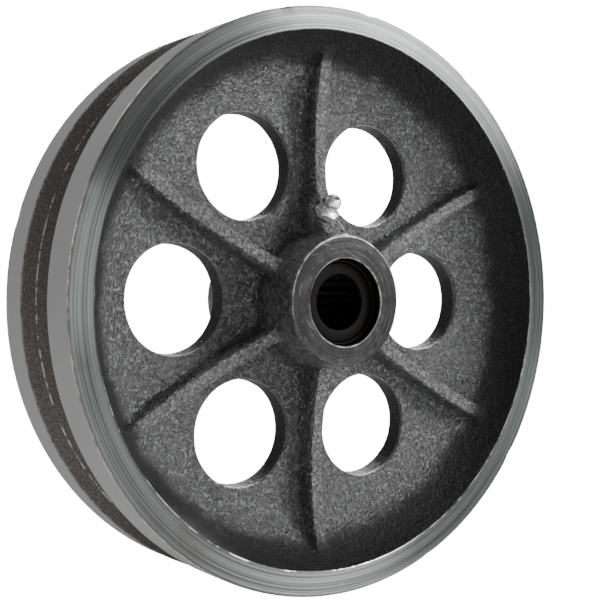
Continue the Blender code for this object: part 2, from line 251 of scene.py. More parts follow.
def column_angles(radius, front):
    """The columns' angles round the cast centre where they cross a circle."""
    radius = max(radius, HUB_R)
    angles = []
    for rib in range(SECTORS):
        middle = RIB_ANGLE + SECTOR * rib
        edges = []
        for number in (rib, (rib + 1) % SECTORS):
            wide = 1.0
            if front and number == 1:      # the top rib widens into the boss
                wide = 1.0 + 0.75 * float(1.0 - smooth_step(radius, 34.0 * MM, 41.0 * MM))
            edges.append(np.arcsin(RIB_OFFSETS * wide / radius))
        angles += list(middle - edges[0][:0:-1])
        angles += list(middle + edges[0])
        start = middle + edges[0][-1]
        end = middle + SECTOR - edges[1][-1]
        angles += list(np.linspace(start, end, BETWEEN + 1)[1:-1])
    return np.array(angles)


def rim_fillet_centre(web):
    """(radius, height) of the middle of the fillet between the web and the rim's wall."""
    middle = web + RIM_FILLET
    wall = RIM_INNER_R - (RIM_HALF - middle) * math.tan(WALL_DRAFT)
    return wall - RIM_FILLET / math.cos(WALL_DRAFT), middle


def base_height(radius, front):
    """The side's height without its ribs and boss."""
    web = web_height(front)
    root = HUB_ROOT_R + HUB_FILLET
    inset = np.clip(root - radius, 0.0, HUB_FILLET)
    near = web + HUB_FILLET - np.sqrt(HUB_FILLET ** 2 - inset ** 2)
    centre, middle = rim_fillet_centre(web)
    outset = np.clip(radius - centre, 0.0, RIM_FILLET)
    far = middle - np.sqrt(RIM_FILLET ** 2 - outset ** 2)
    return np.where(radius > centre, far, np.where(radius < root, near, web))


def first_height(x, z, base, front):
    """A starting height for a point of the side: the highest of the base, a rib and the boss."""
    along, across = nearest_line(x, z, RIB_ANGLE)
    crest = crest_height(along)
    rib = crest - np.maximum(np.abs(across) - RIB_HALF_TOP, 0.0) * RIB_SLOPE
    height = np.maximum(base, rib)
    if front:
        seat = SEAT.z - SEAT.y - z
        boss = seat - np.maximum(np.abs(x) - BOSS_HALF, 0.0) * RIB_SLOPE
        boss = np.where((z > 0.0) & (seat > 8.0 * MM), boss, 0.0)
        height = np.maximum(height, boss)
        out, up = along_fitting(height, z)
        cut = (np.hypot(x, up) < SPOT_R) & (out > 0.0) & (z > 0.0)
        height = np.where(cut, seat, height)
    return height


def side_rows(front):
    """(radius, height) of the rows over one side, from the hub's edge out to the rim's edge.

    Rows from first to last cross the holes' blocks, where the height is left to base_height.
    """
    web = web_height(front)
    rows = []
    top = HUB_HALF - 0.45 * MM
    for height in np.linspace(top, web + HUB_FILLET, 10 if front else 7)[:-1]:
        share = (height - web - HUB_FILLET) / (HUB_HALF - web - HUB_FILLET)
        rows.append((HUB_ROOT_R + (HUB_R - HUB_ROOT_R) * share, height))
    for turn in np.linspace(math.pi, 1.5 * math.pi, 9 if front else 7):
        rows.append((HUB_ROOT_R + HUB_FILLET * (1.0 + math.cos(turn)),
                     web + HUB_FILLET * (1.0 + math.sin(turn))))
    rows += [(radius, web) for radius in np.linspace(HUB_ROOT_R + HUB_FILLET, BLOCK_INNER, 5)[1:-1]]
    first = len(rows)
    rows += [(radius, None) for radius in np.linspace(BLOCK_INNER, BLOCK_MIDDLE, 9)[:-1]]
    rows += [(radius, None) for radius in np.linspace(BLOCK_MIDDLE, BLOCK_OUTER, 33)]
    last = len(rows) - 1
    centre, middle = rim_fillet_centre(web)
    start = math.acos((BLOCK_OUTER - centre) / RIM_FILLET)
    for turn in np.linspace(start, WALL_DRAFT, 21 if front else 17)[1:]:
        height = middle - RIM_FILLET * math.sin(turn)
        if height < RIM_HALF - 1.2 * MM:
            rows.append((centre + RIM_FILLET * math.cos(turn), height))
    short = 0.55 * MM
    rows.append((RIM_INNER_R - short * math.tan(WALL_DRAFT), RIM_HALF - short))
    return rows, first, last


def side_sheet(front):
    """One side's rows settled on its surface, as (rows, columns, 3), and the block's ends."""
    layout, first, last = side_rows(front)
    starts = []
    for radius, height in layout:
        angles = column_angles(radius, front)
        x = radius * np.cos(angles)
        z = radius * np.sin(angles)
        spread = np.full_like(x, radius)
        base = base_height(spread, front) if height is None else np.full_like(x, height)
        starts.append(np.stack([x, first_height(x, z, base, front), z + CAST_SHIFT], axis=1))
    points = settle(np.concatenate(starts), front)
    return points.reshape(len(layout), COLUMNS, 3), first, last


def cut_edge(points, height, front):
    """Where the cast surface meets a turned plane: the points taken to that height and settled."""
    flat = points.copy()
    flat[:, 1] = height
    return settle(flat, front, flat=True)


def ring_at(edge, offset, height):
    """A row beside an edge row, offset outwards from the axle, at a height."""
    radius = np.hypot(edge[:, 0], edge[:, 2])
    grown = (radius + offset) / radius
    return np.stack([edge[:, 0] * grown, np.full(len(edge), height), edge[:, 2] * grown], axis=1)


def circle_row(radius, height, angles):
    spread = np.broadcast_to(radius, angles.shape)
    return np.stack([spread * np.cos(angles), np.broadcast_to(height, angles.shape),
                     spread * np.sin(angles)], axis=1)


def hub_end(edge):
    """Rows over the hub's end face, from inside the bore out to just short of its edge."""
    angles = np.arctan2(edge[:, 2], edge[:, 0])
    radius = np.hypot(edge[:, 0], edge[:, 2])
    bore = [circle_row(BORE_R, HUB_HALF - depth, angles) for depth in (4.0 * MM, 1.1 * MM)]
    corner = [circle_row(BORE_R + BORE_CORNER * (1.0 - math.cos(turn)),
                         HUB_HALF - BORE_CORNER * (1.0 - math.sin(turn)), angles)
              for turn in np.linspace(0.0, 0.5 * math.pi, 4)]
    face = [circle_row(BORE_R + 1.0 * MM, HUB_HALF, angles)]
    face += [circle_row(BORE_R + share * (radius - BORE_R), HUB_HALF, angles)
             for share in (0.35, 0.65)]
    for inset, sunk in ((0.6, 0.0), (0.35, 0.0), (0.10, 0.10)):
        face.append(ring_at(edge, -inset * MM, HUB_HALF - sunk * MM))
    return ([(row, "bore") for row in bore + corner[:1]]
            + [(row, "hub_face") for row in corner[1:] + face])


def rim_face(edge, angles):
    """Rows over one rim face, from just outside its inner edge, and round its corner."""
    inner = ring_at(edge, 0.60 * MM, RIM_HALF)
    outer = circle_row(RIM_R - 1.1 * MM, RIM_HALF, angles)
    face = [ring_at(edge, 0.08 * MM, RIM_HALF - 0.10 * MM), ring_at(edge, 0.32 * MM, RIM_HALF)]
    face += [inner + (outer - inner) * share for share in (0.0, 0.3, 0.65)]
    face += [outer, circle_row(RIM_R - 0.8 * MM, RIM_HALF, angles)]
    corner = [circle_row(RIM_R - CORNER_RADIAL * (1.0 - math.sin(turn)),
                         RIM_HALF - CORNER_AXIAL * (1.0 - math.cos(turn)), angles)
              for turn in np.linspace(0.0, 0.5 * math.pi, 5)]
    tread = corner[3:] + [circle_row(RIM_R, RIM_HALF - 1.9 * MM, angles)]
    return [(row, "rim_face") for row in face + corner[:3]] + [(row, "tread") for row in tread]


def groove_rows(angles):
    """Rows over both treads and the groove between them, from front to rear, as world points."""
    outline = []
    lip = GROOVE_HALF + LIP_ROUND / 2.0
    for turn in np.linspace(0.0, 0.25 * math.pi, 4):
        outline.append((-lip + LIP_ROUND * math.sin(turn),
                        RIM_R - LIP_ROUND * (1.0 - math.cos(turn))))
    foot = GROOVE_FLOOR_HALF + 0.7 * MM
    for share in np.linspace(0.0, 1.0, 8)[1:-1]:
        across = -GROOVE_HALF + share * (GROOVE_HALF - foot)
        outline.append((across, RIM_R - (across + GROOVE_HALF)))
    floor = RIM_R - (GROOVE_HALF - GROOVE_FLOOR_HALF)
    for turn in np.linspace(0.25 * math.pi, 0.0, 4):
        outline.append((-foot + 1.7 * MM - FLOOR_ROUND * math.sin(turn),
                        floor + FLOOR_ROUND * (1.0 - math.cos(turn))))
    outline.append((0.0, floor))
    outline += [(-across, radius) for across, radius in outline[-2::-1]]
    rows = []
    for across in (-0.80, -0.45, -0.12):
        y = GROOVE_Y - lip + across * (RIM_HALF - 2.0 * MM - GROOVE_HALF)
        rows.append((circle_row(RIM_R, y, angles), "tread"))
    for number, (across, radius) in enumerate(outline):
        y = np.full_like(angles, GROOVE_Y + across)
        grain = noise(100.0 * np.cos(angles) * MM, y, 100.0 * np.sin(angles) * MM, 4.0 * MM)
        fine = noise(60.0 * np.cos(angles) * MM, y, 60.0 * np.sin(angles) * MM, 1.6 * MM)
        inside = 1.0 if radius < RIM_R - 0.5 * MM else 0.35 * (radius < RIM_R - 1e-6)
        sunk = radius + inside * (0.13 * MM * grain + 0.07 * MM * fine)
        name = "groove" if 0 < number < len(outline) - 2 else "tread"
        rows.append((circle_row(sunk, y, angles), name))
    for across in (0.12, 0.45, 0.80):
        y = GROOVE_Y + lip + across * (RIM_HALF - 4.0 * MM - GROOVE_HALF)
        rows.append((circle_row(RIM_R, y, angles), "tread"))
    return rows


def block_loop(first, last, sector):
    """(row, column) of the block's outline round one hole, once round."""
    left = sector * PER_SECTOR + 2 * RIB_SIDE
    right = left + BETWEEN
    loop = [(first, column) for column in range(left, right + 1)]
    loop += [(row, right) for row in range(first + 1, last + 1)]
    loop += [(last, column) for column in range(right - 1, left - 1, -1)]
    loop += [(row, left) for row in range(last - 1, first, -1)]
    return [(row, column % COLUMNS) for row, column in loop]


def hole_rings(outline, sector, front):
    """Rings from the block's outline in to the hole and round its edge, settled, for one side."""
    turn = SECTOR * (sector + 1)
    centre = np.array([HOLE_PITCH * math.cos(turn), HOLE_PITCH * math.sin(turn)])
    away = np.stack([outline[:, 0], outline[:, 2] - CAST_SHIFT], axis=1) - centre
    far = np.linalg.norm(away, axis=1)
    away = away / far[:, None]
    web = web_height(front)
    edge = hole_radius(-web if front else web)
    rings = []
    places = []
    for share in np.linspace(0.0, 1.0, 9)[1:]:
        eased = 1.0 - (1.0 - share) ** 1.25
        places.append((far + (edge + HOLE_EDGE - far) * eased, None))
    for bend in np.linspace(0.0, 0.5 * math.pi, 6)[1:]:
        places.append((np.full_like(far, edge + HOLE_EDGE * (1.0 - math.sin(bend))),
                       web - HOLE_EDGE * (1.0 - math.cos(bend))))
    if front:
        for y in np.linspace(-web + HOLE_EDGE, WEB_REAR - HOLE_EDGE, 5)[1:-1]:
            places.append((np.full_like(far, hole_radius(y)), -y))
    for radius, height in places:
        flat = centre + away * radius[:, None]
        if height is None:
            height = base_height(np.linalg.norm(flat, axis=1), front)
        rings.append(np.stack([flat[:, 0], np.broadcast_to(height, far.shape),
                               flat[:, 1] + CAST_SHIFT], axis=1))
    settled = settle(np.concatenate(rings), front)
    return settled.reshape(len(rings), len(far), 3)


def to_world(points, front):
    turned = points.copy()
    if front:
        turned[..., 1] *= -1.0
    return turned


def nick_rim(rows):
    """Presses small knocks into the rim's outer corners, front and rear by turns."""
    random = np.random.RandomState(11)
    for number in range(26):
        y = (-1.0 if number % 2 == 0 else 1.0) * (RIM_HALF - 0.5 * MM)
        angle = random.uniform(-math.pi, math.pi)
        depth = random.uniform(0.15, 0.45) * MM
        length = random.uniform(0.9, 2.6) * MM
        for row in rows:
            radius = np.hypot(row[:, 0], row[:, 2])
            if radius.mean() < RIM_R - 1.5 * MM:
                continue
            turn = np.arctan2(row[:, 2], row[:, 0]) - angle
            turn = (turn + math.pi) % (2.0 * math.pi) - math.pi
            near = np.exp(-(turn * RIM_R / length) ** 2 - ((row[:, 1] - y) / (1.1 * MM)) ** 2)
            sunk = 1.0 - near * depth / radius
            row[:, 0] *= sunk
            row[:, 2] *= sunk
            row[:, 1] -= np.sign(y) * near * depth * 0.5


ZONES = ("enamel", "rim_face", "tread", "groove", "hub_face", "bore")


def casting_rows(sheets):
    """The casting's rows and their zones, once round from one bore end to the other.

    Also says which of the rows the holes' blocks run between, on each side.
    """
    angles = column_angles(RIM_INNER_R, False)
    blocks = {}
    lined = {}
    for front, (sheet, first, last) in sheets.items():
        part = hub_end(cut_edge(sheet[0], HUB_HALF, front))
        blocks[front] = (len(part) + first, len(part) + last)
        part += [(row, "enamel") for row in sheet]
        part += rim_face(cut_edge(sheet[-1], RIM_HALF, front), angles)
        lined[front] = [(to_world(row, front), zone) for row, zone in part]
    # A face belongs to the row before it, so the rear's zones move up by one when its rows turn
    rear = lined[False][::-1]
    ahead = lined[True] + groove_rows(angles)
    rows = [row for row, _ in ahead + rear]
    zones = [zone for _, zone in ahead + rear[1:]] + ["bore"]
    blocks[False] = tuple(len(rows) - 1 - row for row in blocks[False])
    nick_rim(rows)
    return rows, zones, blocks


def casting_mesh():
    """The whole casting as one closed mesh, each face marked with its zone's number."""
    sheets = {front: side_sheet(front) for front in (True, False)}
    rows, zones, blocks = casting_rows(sheets)
    faces = []
    marks = []
    for row, zone in enumerate(zones):
        below = (row + 1) % len(rows)
        in_block = any(min(ends) <= row < max(ends) for ends in blocks.values())
        for column in range(COLUMNS):
            if in_block and column % PER_SECTOR >= 2 * RIB_SIDE:
                continue
            beside = (column + 1) % COLUMNS
            faces.append((row * COLUMNS + column, below * COLUMNS + column,
                          below * COLUMNS + beside, row * COLUMNS + beside))
            marks.append(ZONES.index(zone))
    points = [np.concatenate(rows)]
    count = len(points[0])
    for sector in range(SECTORS):
        chains = {}
        for front, (sheet, start, end) in sheets.items():
            first, last = blocks[front]
            step = 1 if last > first else -1
            loop = block_loop(start, end, sector)
            outline = np.array([sheet[row, column] for row, column in loop])
            chain = [[(first + step * (row - start)) * COLUMNS + column for row, column in loop]]
            for ring in to_world(hole_rings(outline, sector, front), front):
                points.append(ring)
                chain.append(list(range(count, count + len(ring))))
                count += len(ring)
            chains[front] = chain
        chain = chains[True] + chains[False][::-1]
        for above, under in zip(chain, chain[1:]):
            for place in range(len(above)):
                after = (place + 1) % len(above)
                faces.append((above[place], under[place], under[after], above[after]))
                marks.append(ZONES.index("enamel"))
    return np.concatenate(points), faces, marks


def add_object(name, data):
    """A new object in the scene that holds data."""
    obj = bpy.data.objects.new(name, data)
    bpy.context.scene.collection.objects.link(obj)
    return obj


def add_bmesh(name, bm):
    mesh = bpy.data.meshes.new(name)
    bm.to_mesh(mesh)
    bm.free()
    return add_object(name, mesh)


def mesh_object(name, points, faces, marks=None, materials=()):
    """A smooth-shaded mesh object with unused points left out and its faces turned outwards."""
    used = sorted({corner for face in faces for corner in face})
    renumber = np.full(len(points), -1)
    renumber[used] = np.arange(len(used))
    mesh = bpy.data.meshes.new(name)
    mesh.from_pydata(points[used].tolist(), [], [[renumber[i] for i in face] for face in faces])
    if marks is not None:
        mesh.polygons.foreach_set("material_index", marks)
    bm = bmesh.new()
    bm.from_mesh(mesh)
    bmesh.ops.remove_doubles(bm, verts=bm.verts[:], dist=0.004 * MM)
    bmesh.ops.recalc_face_normals(bm, faces=bm.faces[:])
    bm.to_mesh(mesh)
    bm.free()
    mesh.shade_smooth()
    for material in materials:
        mesh.materials.append(material)
    return add_object(name, mesh)


# ---- the bearing and the fitting
GAP = 0.3 * MM                     # between neighbouring pieces
EDGE = 0.2 * MM                    # rounding of the sleeve's and the cage's ends
AXLE_R = 0.375 * INCH
SLEEVE_OUTER = BORE_R - GAP
SLEEVE_INNER = SLEEVE_OUTER - 0.8 * MM
SLEEVE_HALF = (1.0 + 15.0 / 16.0) * INCH / 2.0
ROLLERS = 10
ROLLER_PITCH = (SLEEVE_INNER + AXLE_R) / 2.0
ROLLER_R = (SLEEVE_INNER - AXLE_R) / 2.0 - GAP
ROLLER_HALF = 22.0 * MM
CAGE_HALF = 23.8 * MM
HEX_HALF = 5.0 / 32.0 * INCH


def arc(centre, radius, start, end, count):
    """(radius, height) points on an arc from start to end, in degrees."""
    turns = np.radians(np.linspace(start, end, count))
    return [(centre[0] + radius * math.cos(t), centre[1] + radius * math.sin(t)) for t in turns]


def mirrored(profile, middle=()):
    """A profile's upper half, its middle, and then the same half upside down."""
    return profile + list(middle) + [(radius, -height) for radius, height in reversed(profile)]


def quads(rows, columns, closed=False):
    """Faces between neighbouring rows of points, and from the last row to the first if closed."""
    faces = []
    for row in range(rows if closed else rows - 1):
        below = (row + 1) % rows
        for column in range(columns):
            beside = (column + 1) % columns
            faces.append((row * columns + column, row * columns + beside,
                          below * columns + beside, below * columns + column))
    return faces


def turned(name, profile, columns, matrix, shape=None):
    """A closed piece turned about its own Z axis. shape gives the radii of a row that isn't round.

    A profile that starts on the axis is closed with a fan at each end, any other into a ring.
    """
    angles = np.linspace(0.0, 2.0 * math.pi, columns, endpoint=False)
    rows = []
    for radius, height in profile:
        spread = np.full(columns, radius) if shape is None else shape(angles, radius, height)
        rows.append(np.stack([spread * np.cos(angles), spread * np.sin(angles),
                              np.full(columns, height)], axis=1))
    solid = profile[0][0] < 1e-7
    if solid:
        rows = rows[1:-1]
    points = list(np.concatenate(rows))
    faces = quads(len(rows), columns, not solid)
    if solid:
        for row, tip in ((0, profile[0]), (len(rows) - 1, profile[-1])):
            points.append(np.array([0.0, 0.0, tip[1]]))
            for column in range(columns):
                faces.append((row * columns + column, row * columns + (column + 1) % columns,
                              len(points) - 1))
    world = np.array(matrix)
    return mesh_object(name, np.array(points) @ world[:3, :3].T + world[:3, 3], faces)


def make_roller(number):
    turn = math.radians(-90.0 + 36.0 * number)
    place = (ROLLER_PITCH * math.cos(turn), 0.0, ROLLER_PITCH * math.sin(turn))
    corner = 0.35 * MM
    inset = ROLLER_R - corner
    shoulder = ROLLER_HALF - corner
    profile = [(0.0, ROLLER_HALF), (inset * 0.55, ROLLER_HALF)]
    profile += arc((inset, shoulder), corner, 90.0, 0.0, 5)
    profile += [(ROLLER_R, 0.96 * shoulder), (ROLLER_R, 0.5 * shoulder)]
    return turned("roller_fine_%d" % (number + 1), mirrored(profile, [(ROLLER_R, 0.0)]), 48,
                  Matrix.Translation(place) @ ALONG_AXLE)


def carve(piece, cutters):
    """Cuts the cutters out of a piece for good."""
    for cutter in cutters:
        cut = piece.modifiers.new("Cut", "BOOLEAN")
        cut.operation = "DIFFERENCE"
        cut.solver = "EXACT"
        cut.object = cutter
    bpy.context.view_layer.update()
    carved = bpy.data.meshes.new_from_object(
        piece.evaluated_get(bpy.context.evaluated_depsgraph_get()))
    piece.modifiers.clear()
    piece.data = carved
    for cutter in cutters:
        bpy.data.objects.remove(cutter)


def crease(piece, degrees=35.0):
    """Smooth shading that stops at edges sharper than this."""
    piece.data.shade_smooth()
    piece.data.set_sharp_from_angle(angle=math.radians(degrees))


def make_sleeve():
    """The bearing's outer sleeve, drilled where the grease comes in from the fitting."""
    end = SLEEVE_HALF - EDGE
    profile = arc((SLEEVE_INNER + EDGE, end), EDGE, 180.0, 90.0, 4)
    profile += arc((SLEEVE_OUTER - EDGE, end), EDGE, 90.0, 0.0, 4) + [(SLEEVE_OUTER, 0.5 * end)]
    profile = mirrored(profile) + [(SLEEVE_INNER, -0.5 * end), (SLEEVE_INNER, 0.5 * end)]
    sleeve = turned("bearing_sleeve_fine", profile, 96, ALONG_AXLE)
    way = Matrix.Translation((0.0, SEAT.y + SEAT.z - SLEEVE_OUTER, SLEEVE_OUTER))
    drill = mirrored([(0.0, 3.0 * MM), (2.2 * MM, 3.0 * MM)])
    carve(sleeve, [turned("hole", drill, 32, way)])
    crease(sleeve)
    return sleeve


def make_cage():
    """The cage: a shell on the rollers' pitch circle between two end rings, slotted for them."""
    ring = (AXLE_R + GAP, SLEEVE_INNER - GAP)
    shell = (ROLLER_PITCH - 0.65 * MM, ROLLER_PITCH + 0.65 * MM)
    shoulder = CAGE_HALF - 1.4 * MM
    top = CAGE_HALF - EDGE
    profile = arc((ring[0] + EDGE, top), EDGE, 180.0, 90.0, 3)
    profile += arc((ring[1] - EDGE, top), EDGE, 90.0, 0.0, 3)
    profile = mirrored(profile + [(ring[1], shoulder), (shell[1], shoulder)])
    profile += [(ring[0], -shoulder), (shell[0], -shoulder)]
    profile += [(shell[0], shoulder), (ring[0], shoulder)]
    cage = turned("roller_cage_fine", profile, 120, ALONG_AXLE)
    cutters = []
    half = (ROLLER_R, ROLLER_HALF + GAP, ROLLER_R + GAP)
    slot = Matrix.Translation((ROLLER_PITCH, 0.0, 0.0)) @ Matrix.Diagonal((*half, 1.0))
    for number in range(ROLLERS):
        turn = Matrix.Rotation(math.radians(90.0 - 36.0 * number), 4, "Y")
        bm = bmesh.new()
        bmesh.ops.create_cube(bm, size=2.0, matrix=slot)
        bmesh.ops.transform(bm, verts=bm.verts[:], matrix=turn)
        cutters.append(add_bmesh("slot", bm))
    carve(cage, cutters)
    crease(cage)
    return cage


def make_fitting():
    """The grease fitting: a hexagon with turned corners, a waist and a ball nose, on its shank."""
    # (radius, height) in millimetres, down the outside and back up the passage
    nose, tip = (0.0, 6.3), 8.7
    profile = [(0.80, tip - 0.15), (0.95, tip)]
    profile += arc(nose, 3.0, math.degrees(math.asin((tip - nose[1]) / 3.0)), -44.0, 18)
    profile += arc((2.95, 3.95), 0.78, 170.0, 232.0, 5)
    profile += [(3.30, 3.05), (3.62, 2.92), (3.92, 2.86), (4.12, 2.74), (4.34, 2.58),
                (4.70, 2.36), (4.70, 1.4), (4.70, 0.75), (4.40, 0.52), (4.15, 0.38),
                (3.85, 0.31), (3.1, 0.30)]
    for ridge in range(6):
        height = 0.1 - 0.95 * ridge
        crest = 2.92 - 0.04 * ridge
        profile += [(crest, height), (crest, height - 0.15), (crest - 0.42, height - 0.5)]
    profile += [(2.45, -5.9), (2.2, -6.0), (0.75, -6.0), (0.75, 0.3), (1.5, 0.35), (1.5, 7.2),
                (0.80, 7.6)]

    def hexagon(angles, radius, height):
        if not (0.35 * MM < height < 2.9 * MM and radius > 3.7 * MM):
            return np.full_like(angles, radius)
        folded = (angles + math.pi / 6.0) % (math.pi / 3.0) - math.pi / 6.0
        blunt = HEX_HALF / math.cos(math.pi / 6.0) - 0.08 * MM
        return np.minimum(np.minimum(HEX_HALF / np.cos(folded), radius), blunt)

    profile = [(radius * MM, height * MM) for radius, height in profile]
    return turned("grease_fitting_fine", profile, 72, ALONG_FITTING, hexagon)


def make_ball():
    """The check ball, which shows in the mouth of the fitting's nose."""
    radius = 1.15 * MM
    profile = arc((0.0, 6.45 * MM), radius, 90.0, -90.0, 26)
    profile[0] = (0.0, profile[0][1])
    profile[-1] = (0.0, profile[-1][1])
    return turned("check_ball_fine", profile, 40, ALONG_FITTING)


def make_spring():
    """The check spring, wound from round wire, with its end turns closed."""
    radius, wire, turns = 0.95 * MM, 0.15 * MM, 5.0
    low, high = 0.60 * MM, 5.0 * MM
    around, count = 10, 240
    upward = Vector((0.0, 0.0, 1.0))
    points = []
    for step in range(count + 1):
        share = step / count
        turn = 2.0 * math.pi * turns * share
        rise = low + (high - low) * float(smooth_step(share, -0.12, 1.12))
        centre = Vector((radius * math.cos(turn), radius * math.sin(turn), rise))
        outward = Vector((math.cos(turn), math.sin(turn), 0.0))
        for side in range(around):
            bend = 2.0 * math.pi * side / around
            points.append(centre + wire * (math.cos(bend) * outward + math.sin(bend) * upward))
    faces = quads(count + 1, around)
    faces += [tuple(range(around)), tuple(range(count * around, (count + 1) * around))]
    placed = np.array([ALONG_FITTING @ point for point in points])
    return mesh_object("check_spring_fine", placed, faces)


# ---- finishes
class Nodes:
    """A node tree in the making, with short ways to add to it."""

    def __init__(self, tree):
        self.tree = tree

    def link(self, socket, value):
        if isinstance(value, bpy.types.NodeSocket):
            self.tree.links.new(value, socket)
        else:
            socket.default_value = value

    def add(self, kind, inputs=None, output=0, **settings):
        node = self.tree.nodes.new("ShaderNode" + kind)
        for key, value in settings.items():
            setattr(node, key, value)
        for key, value in (inputs or {}).items():
            self.link(node.inputs[key], value)
        return node.outputs[output]

    def parts(self, vector):
        return self.add("SeparateXYZ", {0: vector}).node.outputs

    def math(self, operation, first, second=0.0):
        return self.add("Math", {0: first, 1: second}, operation=operation)

    def plus(self, first, second):
        return self.math("ADD", first, second)

    def times(self, first, second):
        return self.math("MULTIPLY", first, second)

    def ramp(self, value, low, high, start=0.0, end=1.0):
        """A smooth change from start to end as value goes from low to high."""
        return self.add("MapRange", {0: value, 1: low, 2: high, 3: start, 4: end},
                        interpolation_type="SMOOTHSTEP")


class Finish(Nodes):
    """A material's nodes. The sizes of noise, streaks and bumps are in millimetres."""

    def __init__(self, name):
        self.material = bpy.data.materials.new(name)
        self.material.use_nodes = True
        super().__init__(self.material.node_tree)
        self.shader = self.tree.nodes["Principled BSDF"]
        self.place = self.add("TexCoord", output="Object")
        self.x, self.y, self.z = self.parts(self.place)

    def noise(self, size, detail=2.0, roughness=0.5):
        return self.add("TexNoise", {"Vector": self.place, "Scale": 1.0 / (size * MM),
                                     "Detail": detail, "Roughness": roughness})

    def streaks(self, across, long, short, detail, roughness):
        """Noise drawn out round the axle, where across changes from streak to streak."""
        turn = self.math("ARCTAN2", self.z, self.x)
        around = RIM_R / (long * MM)
        place = self.add("CombineXYZ", {0: self.times(self.math("COSINE", turn), around),
                                        1: self.times(self.math("SINE", turn), around),
                                        2: self.times(across, 1.0 / (short * MM))})
        return self.add("TexNoise", {"Vector": place, "Scale": 1.0, "Detail": detail,
                                     "Roughness": roughness})

    def mix(self, share, first, second):
        return self.add("Mix", {0: share, 6: first, 7: second}, output=2, data_type="RGBA")

    def between(self, share, first, second):
        return self.add("Mix", {0: share, 2: first, 3: second}, data_type="FLOAT")

    def radius(self):
        return self.math("SQRT", self.plus(self.times(self.x, self.x),
                                           self.times(self.z, self.z)))

    def bumps(self, *layers):
        """Bumps laid one over another, each given as its height and its depth."""
        under = {}
        for height, depth in layers:
            normal = self.add("Bump", {"Height": height, "Distance": depth * MM, **under})
            under = {"Normal": normal}
        return normal

    def lathe_marks(self, strength):
        """What draws a surface's highlights out across marks that run round the axle."""
        tangent = self.add("Tangent", direction_type="RADIAL", axis="Y")
        return {"Anisotropic": strength, "Anisotropic_Rotation": 0.25, "Tangent": tangent}

    def finish(self, colour, roughness, normal, **fixed):
        fixed.update(Base_Color=colour, Roughness=roughness, Normal=normal)
        for key, value in fixed.items():
            self.link(self.shader.inputs[key.replace("_", " ")], value)
        return self.material


def grey(value, warm=0.0):
    return (value * (1.0 + warm), value, value * (1.0 - warm), 1.0)


def enamel_finish():
    """Black enamel brushed over the pebbled skin of a sand casting."""
    f = Finish("cast_enamel")
    radius = f.radius()
    pebble = f.noise(1.15, 3.0, 0.68)
    grains = f.add("TexVoronoi", {"Vector": f.place, "Scale": 1.0 / (0.95 * MM),
                                  "Smoothness": 0.6}, feature="SMOOTH_F1")
    lumps = f.noise(7.0, 2.0, 0.5)
    pits = f.ramp(f.noise(2.2, 1.0, 0.4), 0.30, 0.25)
    normal = f.bumps((lumps, 0.30), (grains, 0.42), (pebble, 1.25), (pits, -0.15))
    # Painted shade: the skin is painted darker in the corner under the rim and on the holes' walls
    drift = f.times(f.noise(9.0, 3.0), 7.0 * MM)
    under_rim_shade = f.ramp(f.plus(radius, drift), 84.5 * MM, 91.0 * MM)
    off_middle = f.math("ABSOLUTE", f.y)
    hole_wall_shade = f.times(f.ramp(off_middle, 3.6 * MM, 2.8 * MM), f.ramp(radius, 80.0 * MM, 77.0 * MM))
    painted_shade = f.math("MAXIMUM", under_rim_shade, hole_wall_shade)
    # Painted highlights: light specks that stand in for glints, thickest in the painted shade
    painted_sparkles = f.ramp(f.noise(0.8, 2.0, 0.7), 0.64, 0.74)
    painted_sparkles = f.times(painted_sparkles, f.plus(0.05, f.times(painted_shade, 0.35)))
    # Scuffed paint on the crests of the ribs and along the edge of the rim
    scuff = f.ramp(f.noise(1.3, 4.0, 0.75), 0.46, 0.60)
    crest = f.times(f.ramp(off_middle, 10.9 * MM, 11.7 * MM), f.ramp(radius, 88.0 * MM, 76.0 * MM))
    crest = f.times(f.times(crest, scuff), 0.12)
    ragged = f.times(f.noise(1.5, 4.0, 0.75), 1.2 * MM)
    edge = f.ramp(f.plus(off_middle, ragged), 25.75 * MM, 26.1 * MM)
    edge = f.times(edge, f.ramp(radius, 88.0 * MM, 92.0 * MM))
    edge = f.times(edge, f.ramp(f.noise(11.0, 4.0, 0.7), 0.44, 0.54))
    bright_marks = f.math("MAXIMUM", edge, crest)
    # Painted highlights: the pebbles' tops are painted a lighter grey that stands in for their
    # glints, little of it in the painted shade
    high = f.times(f.ramp(pebble, 0.48, 0.56), f.ramp(painted_shade, 0.0, 1.0, 1.0, 0.10))
    colour = f.mix(f.noise(14.0, 3.0), grey(0.002), grey(0.006, 0.04))
    painted_glint_tone = f.mix(f.ramp(f.noise(1.3, 2.0), 0.40, 0.60), grey(0.010),
                  (0.098, 0.103, 0.108, 1.0))
    colour = f.mix(high, colour, painted_glint_tone)
    colour = f.mix(painted_sparkles, colour, grey(0.20, 0.04))
    colour = f.mix(bright_marks, colour, grey(0.45, 0.04))
    rough = f.between(f.ramp(pebble, 0.38, 0.62), 0.42, 0.24)
    rough = f.between(f.times(painted_shade, 0.9), rough, 0.60)
    # The painted shade mirrors far less than the clean paint, which a dark metal stands for; worn
    # paint turns to metal too
    shade_and_wear_metal = f.math("MAXIMUM", f.times(bright_marks, 0.8), f.times(painted_shade, 0.7))
    return f.finish(colour, f.between(bright_marks, rough, 0.42), normal, Metallic=shade_and_wear_metal,
                    Specular_IOR_Level=0.8)


